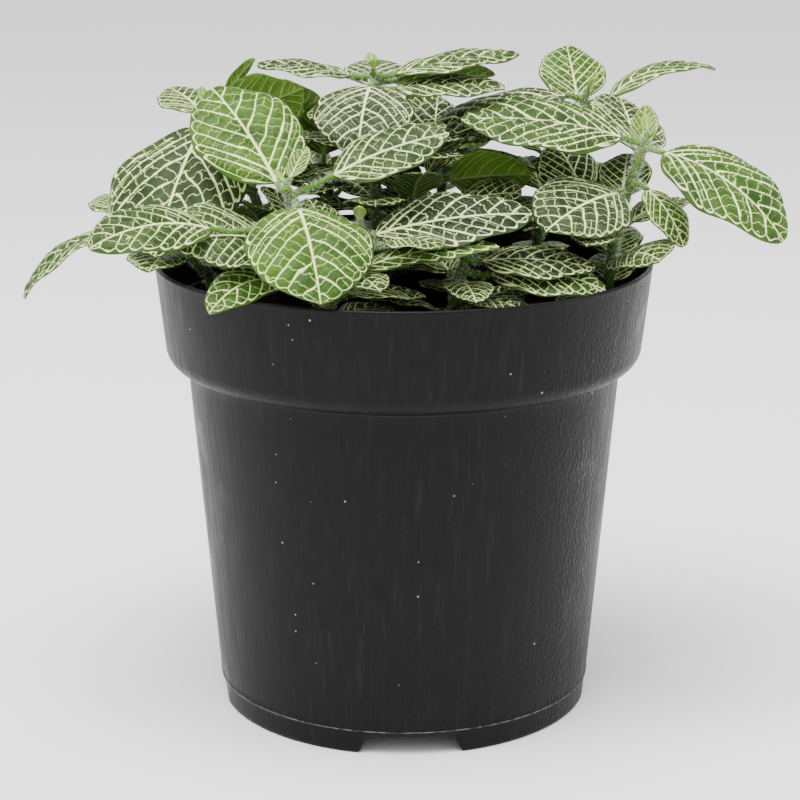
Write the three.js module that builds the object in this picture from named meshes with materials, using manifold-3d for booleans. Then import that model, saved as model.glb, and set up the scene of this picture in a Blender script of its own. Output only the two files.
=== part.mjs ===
// A potted nerve plant (Fittonia): a round plastic nursery pot, its peat root ball,
// eleven leafy shoots and their leaves. Millimetres, +Z up, the pot's foot stands on Z = 0
// and the pot's axis is the Z axis. The plant's front faces -Y.
import * as THREE from 'three';
import { mergeVertices } from 'three/addons/utils/BufferGeometryUtils.js';
import Module from 'manifold-3d';

// ---------------------------------------------------------------- driving dimensions
const RIM_RADIUS = 60;          // outside of the pot at its rim
const POT_HEIGHT = 110;         // foot to rim
const WALL = 1.2;               // thickness of the pot's wall and floor
const COLLAR_HEIGHT = 20;       // the straight band below the rim
const COLLAR_TAPER = 2.2;       // how far the collar leans in towards its foot
const SHOULDER = 5.2;           // radius of the quarter-round under the collar
const BODY_TAPER = 7;           // how far the body leans in from shoulder to foot
const FLOOR_HEIGHT = 5.5;       // underside of the floor above the foot
const FOOT_WIDTH = 2.2;         // width of the ring that the pot stands on
const NOTCH_COUNT = 4;          // drain notches through the foot ring
const NOTCH_WIDTH = 25;
const NOTCH_HEIGHT = 4.4;
const NOTCH_TURN = -88;         // heading of the first notch, in degrees
const DRAIN_COUNT = 6;          // round holes in the floor
const DRAIN_RADIUS = 4;
const DRAIN_RING = 28;          // radius of the circle that the holes lie on
const POT_SIDES = 48;

const CLEARANCE = 0.3;          // gap between pieces that touch
const SOIL_DEPTH = 11;          // rim down to the soil at the wall
const SOIL_CROWN = 3;           // rise of the soil towards the middle
const SOCKET_DEPTH = 8;         // how deep a stem is rooted

const STEM_RADIUS = 1.5;
const STEM_SIDES = 8;
const STEM_STEPS = 8;
const STEM_TIP = 1.5;           // stem left above its highest leaf
const KNEE = 0.45;              // share of a shoot's height at which it starts to lean

const PETIOLE_RADIUS = 0.8;
const LEAF_THICKNESS = 0.8;
const MIDRIB_RELIEF = 0.4;      // keel under the blade
const LEAF_FOLD = 0.2;          // rise of the halves from the midrib, as a slope
const LEAF_ARCH = 0.24;         // droop of the margins, as a slope
const LEAF_WIDEST = 0.46;       // share of the blade's length where it is widest
const LEAF_FULLNESS = 0.58;     // outline exponent: smaller is rounder
const BLADE_SHARES = [0, 0.05, 0.16, 0.32, 0.5, 0.68, 0.83, 0.94, 1];   // sections along a blade

// ---------------------------------------------------------------- the shoots
// Each shoot: name, where it is rooted (share of the soil's radius, heading), where its crown
// is from the root (heading, reach outwards, height above the soil), and its leaves.
// Each leaf: name, height on the stem (0 to 1), heading, pitch of the blade's chord, petiole
// length, blade length, width, droop along the blade, roll about the midrib (+ lowers the
// blade's right-hand side as seen from the stem). Angles are degrees, headings run
// anticlockwise from +X. Shoots and leaves stand in the order in which they are laid.
const SHOOTS = [
  ['left', 0.55, 175, 180, 16, 45, [
    ['big', 0.97, -110, -44, 4, 38, 37, 25, 6],
    ['top', 0.99, 122, 12, 3, 18, 14, 20, -8],
    ['blade', 0.99, 30, 48, 3, 13, 5, 30, -62],
    ['under', 0.99, -10, 16, 4, 19, 19, -20, -50],
  ]],
  ['far_left', 0.78, 182, 185, 24, 21, [
    ['outer', 0.99, 192, -36, 3, 27, 17, 55, 0],
    ['tip', 0.95, 115, 12, 4, 14, 14, 20, 0],
    ['under', 0.55, -98, -2, 5, 21, 16, 20, 0],
  ]],
  ['front_left', 0.52, 232, 235, 14, 32, [
    ['front', 0.93, -76, -36, 3, 29, 29, 40, 0],
    ['upper', 0.99, 128, 36, 3, 32, 26, 20, -18],
    ['right', 0.96, 12, 18, 9, 28, 17, 20, 28],
    ['left', 0.6, 204, 4, 8, 26, 23, 40, -30],
    ['low', 0.85, 202, -14, 20, 30, 18, 45, -24],
    ['hang', 0.3, -128, -16, 13, 24, 12, 60, -20],
  ]],
  ['top', 0.13, 150, 200, 1, 53, [
    ['front', 0.97, -98, -36, 4, 23, 24, 40, 0],
    ['left', 0.99, -176, 7, 4, 22, 18, 15, -4],
    ['right_up', 0.99, 8, 8, 4, 30, 19, 15, 6],
    ['right_low', 0.93, -10, 1, 4, 26, 17, 20, 11],
    ['right_under', 0.96, 28, 7, 5, 30, 14, 10, -25],
    ['left_low', 0.9, -140, 10, 4, 14, 12, 20, 0],
    ['back', 0.92, 90, 8, 4, 23, 15, 30, 0],
  ]],
  ['right', 0.86, -12, 10, 9, 41, [
    ['right', 0.97, -30, -31, 3.8, 36, 29, 45, 12],
    ['left', 0.98, 180, 6, 4, 38, 28, 22, -18],
    ['back', 0.91, 95, 22, 3, 25, 21, 20, 22],
    ['lowleft', 0.68, -130, -10, 2, 29, 23, 25, -24],
    ['lowright', 0.76, -50, -45, 4, 17, 12, 40, 0],
    ['low_tip', 0.3, -60, 14, 3, 18, 17, 40, 20],
    ['low_dark', 0.42, -110, 4, 8, 16, 12, 25, 0],
    ['dark', 0.45, 125, 45, 10, 19, 20, 20, 0],
  ]],
  ['back_right', 0.62, 25, 10, 13, 47, [
    ['top', 0.95, 98, 40, 3, 18, 17, 10, 0],
    ['left', 0.98, -172, -16, 3, 38, 22, 30, -10],
    ['right', 0.98, 10, 11, 6, 31, 14, 60, 0],
  ]],
  ['back_centre', 0.1, 200, 45, 20, 29, [
    ['dark', 0.99, 82, 52, 6, 18, 16, 20, 0],
    ['under', 0.94, -12, 5, 3, 20, 17, 10, -55],
    ['front', 0.62, -14, 20, 9, 19, 19, 30, 22],
  ]],
  ['front_centre', 0.76, 246, 30, 9, 25, [
    ['right', 0.97, 8, 6, 3, 36, 22, 18, 22],
    ['long', 0.62, -4, 10, 3, 32, 13, 25, 14],
    ['small', 0.88, -38, 2, 11, 13, 15, 40, 0],
  ]],
  ['front_right', 0.5, -66, -30, 4, 17, [
    ['mid', 0.9, -4, -3, 2, 26, 19, 20, 12],
    ['rim', 0.7, -10, -6, 5, 27, 18, 35, 18],
  ]],
  ['back_left', 0.5, 125, 130, 12, 38, [
    ['back', 0.97, 95, -16, 4, 23, 21, 40, 0],
    ['left', 0.92, 158, -8, 4, 32, 23, 40, 0],
    ['right', 0.86, 30, 4, 4, 26, 19, 25, 0],
    ['low', 0.6, 130, -8, 5, 24, 19, 45, 0],
  ]],
  ['back_mid', 0.5, 72, 75, 8, 36, [
    ['back', 0.97, 80, -18, 4, 22, 20, 40, 0],
    ['left', 0.9, 140, 0, 4, 26, 19, 30, 0],
    ['right', 0.92, 8, -6, 4, 32, 23, 40, 0],
    ['low', 0.6, 60, -6, 5, 24, 19, 45, 0],
  ]],
];

// ---------------------------------------------------------------- colours
const LOOKS = {
  pot: { color: 0x2b2b2b, roughness: 0.45, metalness: 0 },
  soil: { color: 0x2a1c12, roughness: 0.95, metalness: 0 },
  stem: { color: 0x7f9c4b, roughness: 0.7, metalness: 0 },
  leaf: { color: 0x4f7f3a, roughness: 0.55, metalness: 0 },
};

// ---------------------------------------------------------------- small helpers
const UP = new THREE.Vector3(0, 0, 1);
const radians = THREE.MathUtils.degToRad;

/** A unit vector from a heading and a pitch, both in degrees. */
function direction(heading, pitch = 0) {
  const flat = Math.cos(radians(pitch));
  return new THREE.Vector3(
    flat * Math.cos(radians(heading)), flat * Math.sin(radians(heading)), Math.sin(radians(pitch)));
}

const wasm = await Module();
wasm.setup();

/** A manifold solid from a closed three.js geometry. */
function solidOf(geometry) {
  const bare = geometry.index ? geometry.toNonIndexed() : geometry.clone();
  bare.deleteAttribute('normal');
  bare.deleteAttribute('uv');
  const merged = mergeVertices(bare, 1e-3);
  return new wasm.Manifold(new wasm.Mesh({
    numProp: 3,
    vertProperties: new Float32Array(merged.attributes.position.array),
    triVerts: new Uint32Array(merged.index.array),
  }));
}

/** A three.js geometry from a manifold solid. */
function geometryOf(solid) {
  const mesh = solid.getMesh();
  const geometry = new THREE.BufferGeometry();
  geometry.setAttribute('position', new THREE.BufferAttribute(mesh.vertProperties, 3));
  geometry.setIndex(new THREE.BufferAttribute(mesh.triVerts, 1));
  geometry.computeVertexNormals();
  return geometry;
}

const plant = new THREE.Group();
plant.name = 'potted_nerve_plant';

function addMesh(name, geometry, look) {
  const mesh = new THREE.Mesh(geometry, new THREE.MeshStandardMaterial(LOOKS[look]));
  mesh.name = name;
  plant.add(mesh);
}

/** A round solid turned about +Z from (radius, height) points. */
function turned(points) {
  const geometry = new THREE.LatheGeometry(points.map(([r, z]) => new THREE.Vector2(r, z)), POT_SIDES);
  return geometry.rotateX(Math.PI / 2);
}

// ---------------------------------------------------------------- pot
const collarFoot = POT_HEIGHT - COLLAR_HEIGHT;
const collarRadius = RIM_RADIUS - COLLAR_TAPER;
const bodyRadius = collarRadius - SHOULDER;
const footRadius = bodyRadius - BODY_TAPER;
const floorTop = FLOOR_HEIGHT + WALL;

/** Inside radius of the pot at a height, set in by a gap. */
function insideRadius(z, gap = 0) {
  if (z >= collarFoot) {
    return RIM_RADIUS - COLLAR_TAPER * (POT_HEIGHT - z) / COLLAR_HEIGHT - WALL - gap;
  }
  const shoulderFoot = collarFoot - SHOULDER;
  return bodyRadius - BODY_TAPER * (shoulderFoot - z) / shoulderFoot - WALL - gap;
}

/** Quarter-round from the collar's foot in to the body, as (radius, height) points. */
function shoulderArc(inset) {
  const points = [];
  for (let step = 0; step <= 3; step += 1) {
    const turn = (step / 3) * Math.PI / 2;
    points.push([
      bodyRadius + SHOULDER * Math.cos(turn) - inset,
      collarFoot - SHOULDER * Math.sin(turn) + (step === 3 ? 0 : inset * 0.2)]);
  }
  return points;
}

function makePot() {
  const shoulderFoot = collarFoot - SHOULDER;
  const outer = [
    [footRadius - FOOT_WIDTH, 0],
    [footRadius, 0],
    [bodyRadius, shoulderFoot],
    ...shoulderArc(0).reverse().slice(1),
    [RIM_RADIUS, POT_HEIGHT],
  ];
  const inner = [
    [RIM_RADIUS - WALL, POT_HEIGHT],
    [collarRadius - WALL, collarFoot],
    ...shoulderArc(WALL).slice(1),
    [insideRadius(floorTop), floorTop],
  ];
  const profile = [
    [0, FLOOR_HEIGHT],
    [footRadius - FOOT_WIDTH, FLOOR_HEIGHT],
    ...outer,
    ...inner,
    [0, floorTop],
  ];
  let pot = solidOf(turned(profile));
  for (let index = 0; index < NOTCH_COUNT; index += 1) {
    pot = pot.subtract(solidOf(notchCutter(NOTCH_TURN + index * 360 / NOTCH_COUNT)));
  }
  for (let index = 0; index < DRAIN_COUNT; index += 1) {
    const centre = direction(index * 360 / DRAIN_COUNT).multiplyScalar(DRAIN_RING);
    const drill = new THREE.CylinderGeometry(DRAIN_RADIUS, DRAIN_RADIUS, 4 * WALL, 16);
    drill.rotateX(Math.PI / 2);
    drill.translate(centre.x, centre.y, FLOOR_HEIGHT + WALL / 2);
    pot = pot.subtract(solidOf(drill));
  }
  return pot;
}

/** The space of one drain notch: an arch with sloped sides, driven through the foot ring. */
function notchCutter(heading) {
  const half = NOTCH_WIDTH / 2;
  const slope = NOTCH_HEIGHT / 2;
  const arch = new THREE.Shape();
  arch.moveTo(-half, -1);
  arch.lineTo(-half, NOTCH_HEIGHT / 4);
  arch.quadraticCurveTo(-half, NOTCH_HEIGHT, slope - half, NOTCH_HEIGHT);
  arch.lineTo(half - slope, NOTCH_HEIGHT);
  arch.quadraticCurveTo(half, NOTCH_HEIGHT, half, NOTCH_HEIGHT / 4);
  arch.lineTo(half, -1);
  const depth = 4 * FOOT_WIDTH;
  const cutter = new THREE.ExtrudeGeometry(arch, { depth, bevelEnabled: false, curveSegments: 4 });
  cutter.rotateX(Math.PI / 2);
  cutter.translate(0, -(footRadius - 2 * FOOT_WIDTH), 0);
  cutter.rotateZ(radians(heading + 90));
  return cutter;
}

// ---------------------------------------------------------------- soil
const soilEdge = POT_HEIGHT - SOIL_DEPTH;
const soilRadius = insideRadius(soilEdge, CLEARANCE);

/** Height of the soil's surface at a distance from the axis. */
function soilTop(distance) {
  const share = Math.min(distance / soilRadius, 1);
  return soilEdge + SOIL_CROWN * (1 - share * share);
}

function makeSoil() {
  const profile = [
    [0, floorTop + CLEARANCE],
    [insideRadius(floorTop + CLEARANCE, CLEARANCE), floorTop + CLEARANCE],
    ...shoulderArc(WALL + CLEARANCE).reverse(),
    [soilRadius, soilEdge],
  ];
  for (const share of [0.75, 0.5, 0.25, 0]) {
    profile.push([soilRadius * share, soilTop(soilRadius * share)]);
  }
  return solidOf(turned(profile));
}

// ---------------------------------------------------------------- stems
/** The centre line of a shoot, from its rooted end, which may go deeper, up past its crown. */
function stemCurve(shoot, deeper = 0) {
  const root = direction(shoot.rootHeading).multiplyScalar(shoot.rootShare * soilRadius);
  root.z = soilTop(shoot.rootShare * soilRadius);
  const foot = root.clone().addScaledVector(UP, -SOCKET_DEPTH - deeper);
  const crown = root.clone().addScaledVector(direction(shoot.lean), shoot.reach);
  crown.z += shoot.height;
  const knee = root.clone().addScaledVector(UP, KNEE * shoot.height);
  const middle = new THREE.QuadraticBezierCurve3(root, knee, crown).getPoint(0.5);
  return new THREE.CatmullRomCurve3([foot, root, middle, crown], false, 'centripetal');
}

/** A round tube along a stem's curve. */
function stemTube(curve, radius) {
  const circle = new THREE.Shape();
  circle.absarc(0, 0, radius, 0, 2 * Math.PI);
  return new THREE.ExtrudeGeometry(circle, {
    steps: STEM_STEPS, curveSegments: STEM_SIDES / 2, extrudePath: curve, bevelEnabled: false,
  });
}

// ---------------------------------------------------------------- leaves
const EDGE_WIDTHS = [1, 0.55, 0, -0.55, -1, -0.55, 0, 0.55];   // left, over the top, right, under
const TOP_SIDE = [0, 1, 1, 1, 0, -1, -1, -1];

/** Half-width of the blade at a share of its length, as a share of its full half-width. */
function outline(share) {
  const skew = Math.log(0.5) / Math.log(LEAF_WIDEST);
  return Math.sin(Math.PI * share ** skew) ** LEAF_FULLNESS;
}

/** Sections of a leaf from the petiole's foot to the tip: centre, three axes and half-width. */
function leafSections(leaf, foot, away) {
  const start = direction(leaf.heading, leaf.pitch + leaf.droop / 2);
  const lean = away.clone().add(start).normalize();
  const base = foot.clone().addScaledVector(lean, leaf.petiole);
  const petiole = new THREE.CubicBezierCurve3(
    foot, foot.clone().addScaledVector(away, leaf.petiole / 3),
    base.clone().addScaledVector(start, -leaf.petiole / 3), base);
  const sections = [];
  for (const share of [0, 0.35, 0.7]) {
    sections.push({
      centre: petiole.getPoint(share), along: petiole.getTangent(share),
      roll: leaf.roll * share, blade: -1,
    });
  }
  const centre = base.clone();
  let reached = 0;
  for (const share of BLADE_SHARES) {
    const middle = (share + reached) / 2;
    const step = direction(leaf.heading, leaf.pitch + leaf.droop * (0.5 - middle));
    centre.addScaledVector(step, leaf.length * (share - reached));
    reached = share;
    sections.push({
      centre: centre.clone(), along: direction(leaf.heading, leaf.pitch + leaf.droop * (0.5 - share)),
      roll: leaf.roll, blade: share,
    });
  }
  return sections;
}

/** The eight corners of one leaf section. */
function sectionCorners(leaf, section, skin) {
  const side = direction(leaf.heading + 90);
  side.addScaledVector(section.along, -side.dot(section.along)).normalize();
  side.applyAxisAngle(section.along, radians(section.roll));
  const top = new THREE.Vector3().crossVectors(section.along, side);
  const corners = [];
  const onBlade = section.blade >= 0;
  const half = onBlade ? Math.max(PETIOLE_RADIUS, outline(section.blade) * leaf.width / 2) : PETIOLE_RADIUS;
  const tipTaper = section.blade === 1 ? 0.4 : 1;
  for (let index = 0; index < EDGE_WIDTHS.length; index += 1) {
    const across = EDGE_WIDTHS[index];
    const corner = section.centre.clone();
    if (onBlade && half > PETIOLE_RADIUS) {
      const keel = across === 0 && TOP_SIDE[index] < 0 ? MIDRIB_RELIEF : 0;
      const lift = half * (LEAF_FOLD * Math.abs(across) - LEAF_ARCH * across * across);
      const thick = TOP_SIDE[index] * (LEAF_THICKNESS / 2 + keel + skin);
      corner.addScaledVector(side, across * (half + skin)).addScaledVector(top, lift + thick);
    } else {
      const turn = Math.PI * index / 4;
      const reach = (PETIOLE_RADIUS + skin) * tipTaper;
      corner.addScaledVector(side, reach * Math.cos(turn)).addScaledVector(top, reach * Math.sin(turn));
    }
    corners.push(corner);
  }
  return corners;
}

/** A closed leaf: petiole and blade in one loft. A skin makes it fatter, to test its clearance. */
function leafGeometry(leaf, foot, away, skin = 0) {
  const rings = leafSections(leaf, foot, away).map((section) => sectionCorners(leaf, section, skin));
  const count = EDGE_WIDTHS.length;
  const positions = rings.flat().flatMap((corner) => [corner.x, corner.y, corner.z]);
  const index = [];
  for (let ring = 0; ring + 1 < rings.length; ring += 1) {
    for (let corner = 0; corner < count; corner += 1) {
      const next = (corner + 1) % count;
      const here = ring * count;
      index.push(here + corner, here + next, here + count + next);
      index.push(here + corner, here + count + next, here + count + corner);
    }
  }
  const last = (rings.length - 1) * count;
  for (let corner = 1; corner + 1 < count; corner += 1) {
    index.push(0, corner + 1, corner);
    index.push(last, last + corner, last + corner + 1);
  }
  const geometry = new THREE.BufferGeometry();
  geometry.setAttribute('position', new THREE.Float32BufferAttribute(positions, 3));
  geometry.setIndex(index);
  geometry.computeVertexNormals();
  return geometry;
}

// ---------------------------------------------------------------- growing the plant
const BEND_STEP = 4;            // degrees between the turns that a crowded leaf tries
const BEND_RINGS = 12;

/** Turns of heading and pitch that a leaf tries, nearest first. */
function* bends() {
  yield [0, 0];
  for (let ring = 1; ring <= BEND_RINGS; ring += 1) {
    for (let spoke = 0; spoke < 8; spoke += 1) {
      const turn = Math.PI / 2 + spoke * Math.PI / 4;
      yield [ring * BEND_STEP * Math.cos(turn), ring * BEND_STEP * Math.sin(turn)];
    }
  }
}

const placed = [];

function place(name, solid, look) {
  placed.push({ name, solid, box: solid.boundingBox() });
  addMesh(name, geometryOf(solid), look);
}

/** Volume that a solid shares with the pieces already placed, but for one of them. */
function sharedVolume(solid, exceptName) {
  const box = solid.boundingBox();
  let volume = 0;
  for (const other of placed) {
    const apart = [0, 1, 2].some((axis) => (
      box.min[axis] > other.box.max[axis] || box.max[axis] < other.box.min[axis]));
    if (!apart && other.name !== exceptName) {
      volume += solid.intersect(other.solid).volume();
    }
  }
  return volume;
}

/** Lays a leaf on its stem. Where another piece is in the way it turns aside, as a growing leaf does. */
function placeLeaf(shootName, curve, leaf) {
  const length = curve.getLength();
  const rooted = SOCKET_DEPTH / length;
  const along = rooted + leaf.at * (1 - rooted - STEM_TIP / length);
  const axis = curve.getTangentAt(along);
  let best = null;
  for (const [turn, tilt] of bends()) {
    const bent = { ...leaf, heading: leaf.heading + turn, pitch: leaf.pitch + tilt };
    const away = direction(bent.heading);
    away.addScaledVector(axis, -away.dot(axis)).normalize();
    const foot = curve.getPointAt(along).addScaledVector(away, STEM_RADIUS + CLEARANCE);
    const fat = solidOf(leafGeometry(bent, foot, away, CLEARANCE));
    const crowding = sharedVolume(fat, shootName);
    if (best === null || crowding < best.crowding) {
      best = { crowding, solid: solidOf(leafGeometry(bent, foot, away)) };
    }
    if (best.crowding === 0) break;
  }
  place(`leaf_${shootName}_${leaf.name}`, best.solid, 'leaf');
}

const shoots = SHOOTS.map(([name, rootShare, rootHeading, lean, reach, height, leaves]) => ({
  name, rootShare, rootHeading, lean, reach, height,
  leaves: leaves.map(([leafName, at, heading, pitch, petiole, length, width, droop, roll]) => ({
    name: leafName, at, heading, pitch, petiole, length, width, droop, roll,
  })),
}));

let soil = makeSoil();
for (const shoot of shoots) {
  soil = soil.subtract(solidOf(stemTube(stemCurve(shoot, CLEARANCE), STEM_RADIUS + CLEARANCE)));
}
place('pot', makePot(), 'pot');
place('soil', soil, 'soil');
for (const shoot of shoots) {
  place(`stem_${shoot.name}`, solidOf(stemTube(stemCurve(shoot), STEM_RADIUS)), 'stem');
}
for (const shoot of shoots) {
  for (const leaf of shoot.leaves) {
    placeLeaf(shoot.name, stemCurve(shoot), leaf);
  }
}

export default plant;
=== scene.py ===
"""A potted nerve plant: net-veined leaves on hairy stems, rooted in peat in a thin black nursery pot.

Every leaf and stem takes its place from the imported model's own corners. Lengths are in metres, apart from the sizes
of the pot and the soil and the names that end in _mm, which are in millimetres.
"""

import bpy
import numpy as np
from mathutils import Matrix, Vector


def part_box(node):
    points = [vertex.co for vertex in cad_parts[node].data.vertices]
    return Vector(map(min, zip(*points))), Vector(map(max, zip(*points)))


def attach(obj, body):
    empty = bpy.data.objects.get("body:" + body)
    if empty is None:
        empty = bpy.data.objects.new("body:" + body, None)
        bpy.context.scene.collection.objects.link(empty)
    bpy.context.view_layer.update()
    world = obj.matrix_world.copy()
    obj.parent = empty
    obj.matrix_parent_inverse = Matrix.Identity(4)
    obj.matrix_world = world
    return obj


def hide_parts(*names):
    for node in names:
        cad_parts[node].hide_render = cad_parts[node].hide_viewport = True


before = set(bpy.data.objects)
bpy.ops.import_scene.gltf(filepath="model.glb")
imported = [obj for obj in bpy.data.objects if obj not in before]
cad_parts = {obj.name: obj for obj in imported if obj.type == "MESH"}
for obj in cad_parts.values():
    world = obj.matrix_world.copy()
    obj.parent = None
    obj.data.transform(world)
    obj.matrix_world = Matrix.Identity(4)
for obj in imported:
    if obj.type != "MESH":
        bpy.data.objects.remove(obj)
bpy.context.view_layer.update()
MM = 0.001

# ---------------------------------------------------------------- sizes of the pot and the soil, in mm
POT_HEIGHT = 110.0
RIM_RADIUS = 60.0
WALL = 1.2
COLLAR_FOOT = 90.0  # height of the collar's lower edge
COLLAR_RADIUS = 57.8
SHOULDER = 5.2  # radius of the quarter-round step below the collar
BODY_RADIUS = COLLAR_RADIUS - SHOULDER
FOOT_RADIUS = BODY_RADIUS - 7.0
FOOT_WIDTH = 2.2
FLOOR_HEIGHT = 5.5
SEAM_HEIGHT = 5.9
NOTCH_HALF = 12.5
NOTCH_HEIGHT = 4.4
NOTCH_TURN = -88.0  # heading of the front notch, in degrees
DRAIN_HOLES = 6
DRAIN_RADIUS = 4.0
DRAIN_RING = 28.0
SOIL_RADIUS = 57.0
SOIL_HEIGHT = 99.0  # height of the soil at the pot's wall
SOIL_CROWN = 3.0  # rise of the soil from there to the middle

# ---------------------------------------------------------------- sizes of the leaves and stems
BLADE_SHARES = np.array([0, 0.05, 0.16, 0.32, 0.5, 0.68, 0.83, 0.94, 1])  # shares of the length with a ring
LEAF_WIDEST = 0.46  # share of the length where the blade is widest
LEAF_FULLNESS = 0.58
LEAF_FOLD = 0.2
LEAF_ARCH = 0.24
STEM_RADIUS = 1.45 * MM
STEM_HAIR = 1.5 * MM
STEM_HAIRS_PER_MM = 26
PETIOLE_RADIUS = 0.72 * MM
PETIOLE_HAIR = 1.1 * MM
PETIOLE_HAIRS_PER_MM = 16
HAIR_RADIUS = 0.045 * MM


# ---------------------------------------------------------------- small tools
def unit(vectors):
    """Each vector, made one long."""
    return vectors / np.linalg.norm(vectors, axis=-1, keepdims=True)


def heading(turn, pitch=0.0):
    """Unit vector at a heading about +Z and a pitch above the horizon, in degrees."""
    turn, pitch = np.radians(turn), np.radians(pitch)
    return np.array([np.cos(turn) * np.cos(pitch), np.sin(turn) * np.cos(pitch), np.sin(pitch)])


def ease(values, low, high):
    """0 below low, 1 above high, and a smooth step between."""
    share = np.clip((values - low) / (high - low), 0, 1)
    return share * share * (3 - 2 * share)


def through(knots, values, at):
    """A smooth cubic curve through the values at the knots, with each slope taken from its two neighbours."""
    slopes = np.gradient(values, knots, axis=0)
    index = np.clip(np.searchsorted(knots, at, side="right") - 1, 0, len(knots) - 2)
    width = (knots[index + 1] - knots[index])[:, None]
    t = (at - knots[index])[:, None] / width
    return (values[index] * (1 + 2 * t) * (1 - t) ** 2 + values[index + 1] * t * t * (3 - 2 * t)
            + slopes[index] * width * t * (1 - t) ** 2 + slopes[index + 1] * width * t * t * (t - 1))


def waves(points, size, seed, count=24):
    """Soft lumps of about the given size: a sum of sine waves in random directions, from -1 to 1 or so."""
    rng = np.random.default_rng(seed)
    rays = unit(rng.normal(size=(count, 3))) * (2 * np.pi / size) * rng.uniform(0.6, 1.6, (count, 1))
    return np.sin(points @ rays.T + rng.uniform(0, 2 * np.pi, count)).sum(-1) * (1.4 / count) ** 0.5


def closed_skin(rings, finish=0, **marks):
    """A closed surface through rings of points (rows, around, 3), with one point closing each end.

    The rings run against the clock as seen from the last row. finish is one number or one for each strip around;
    marks are values (rows, around, 3) for each point.
    """
    rows, around = rings.shape[:2]
    total = rows * around
    here = np.arange(total).reshape(rows, around)
    beside = np.roll(here, -1, axis=1)
    quads = np.stack([here[:-1], beside[:-1], beside[1:], here[1:]], axis=-1).reshape(-1, 4)
    start = np.stack([beside[0], here[0], np.full(around, total)], axis=-1)
    end = np.stack([here[-1], beside[-1], np.full(around, total + 1)], axis=-1)
    strips = np.broadcast_to(finish, (around,))

    def with_ends(values):
        return np.vstack([values.reshape(total, -1), values[0].mean(0)[None], values[-1].mean(0)[None]])

    return {
        "points": with_ends(rings),
        "faces": [quads, np.vstack([start, end])],
        "finish": [np.tile(strips, rows - 1), np.tile(strips, 2)],
        "marks": {name: with_ends(value) for name, value in marks.items()},
    }


def add_piece(name, surfaces, finishes, nodes=()):
    """One mesh object from several surfaces, which rides on the plant's one body and stands for its CAD nodes."""
    points = np.vstack([s["points"] for s in surfaces])
    corners, counts, finish, offset = [], [], [], 0
    for surface in surfaces:
        for faces, index in zip(surface["faces"], surface["finish"]):
            corners.append((faces + offset).ravel())
            counts.append(np.full(len(faces), faces.shape[1]))
            finish.append(index)
        offset += len(surface["points"])
    corners, counts, finish = (np.concatenate(a).astype(np.int32) for a in (corners, counts, finish))
    mesh = bpy.data.meshes.new(name)
    mesh.vertices.add(len(points))
    mesh.vertices.foreach_set("co", points.astype(np.float32).ravel())
    mesh.loops.add(len(corners))
    mesh.loops.foreach_set("vertex_index", corners)
    mesh.polygons.add(len(counts))
    mesh.polygons.foreach_set("loop_start", (np.cumsum(counts) - counts).astype(np.int32))
    mesh.polygons.foreach_set("material_index", finish)
    mesh.polygons.foreach_set("use_smooth", np.ones(len(counts), bool))
    mesh.update(calc_edges=True)
    for mark in sorted({m for s in surfaces for m in s["marks"]}):
        values = np.vstack([s["marks"].get(mark, np.zeros((len(s["points"]), 3))) for s in surfaces])
        layer = mesh.attributes.new(mark, "FLOAT_VECTOR", "POINT")
        layer.data.foreach_set("vector", values.astype(np.float32).ravel())
    for material in finishes:
        mesh.materials.append(material)
    piece = bpy.data.objects.new(name, mesh)
    bpy.context.scene.collection.objects.link(piece)
    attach(piece, "root")
    if nodes:
        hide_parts(*nodes)
    return piece


def tube(path, radii, sides=16, finish=0, **marks):
    """A round closed tube along a path: rings of the given radii, square to the path, carried on without a twist."""
    along = unit(np.gradient(path, axis=0))
    side = np.zeros_like(path)
    guide = np.cross(along[0], [0.13, 0.97, 0.21])
    for row, ahead in enumerate(along):
        guide = unit(guide - ahead * (guide @ ahead))
        side[row] = guide
    over = np.cross(along, side)
    turn = np.arange(sides) * 2 * np.pi / sides
    radii = np.broadcast_to(radii, (len(path),))
    ring = side[:, None] * np.cos(turn)[None, :, None] + over[:, None] * np.sin(turn)[None, :, None]
    rings = path[:, None] + ring * radii[:, None, None]
    marks = {name: np.broadcast_to(value, rings.shape) for name, value in marks.items()}
    return closed_skin(rings, finish, **marks)


def hairs(path, radii, count, length, seed, finish=0):
    """Fine white hairs on a stem: thin three-sided spikes that stand out from it and lean a little at random."""
    rng = np.random.default_rng(seed)
    at = rng.uniform(0.02, 0.98, count)
    knots = np.linspace(0, 1, len(path))
    foot = through(knots, path, at)
    along = unit(through(knots, path, np.clip(at + 0.01, 0, 1)) - through(knots, path, np.clip(at - 0.01, 0, 1)))
    out = unit(np.cross(along, rng.normal(size=(count, 3))))
    radius = np.interp(at, knots, np.broadcast_to(radii, (len(path),)))[:, None]
    lean = unit(out + rng.normal(size=(count, 3)) * 0.35)
    foot = foot + out * radius * 0.85
    tip = foot + lean * length * rng.uniform(0.45, 1.1, (count, 1)) + out * radius * 0.15
    across = unit(np.cross(lean, along + 0.01))
    third = np.cross(lean, across)
    turn = np.arange(3) * 2 * np.pi / 3
    ring = foot[:, None] + (across[:, None] * np.cos(turn)[None, :, None]
                            + third[:, None] * np.sin(turn)[None, :, None]) * HAIR_RADIUS
    points = np.concatenate([ring, tip[:, None]], axis=1).reshape(-1, 3)
    spike = np.array([[0, 1, 3], [1, 2, 3], [2, 0, 3], [0, 2, 1]])
    faces = (spike[None] + 4 * np.arange(count)[:, None, None]).reshape(-1, 3)
    return {"points": points, "faces": [faces], "finish": [np.full(len(faces), finish)], "marks": {}}


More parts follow.
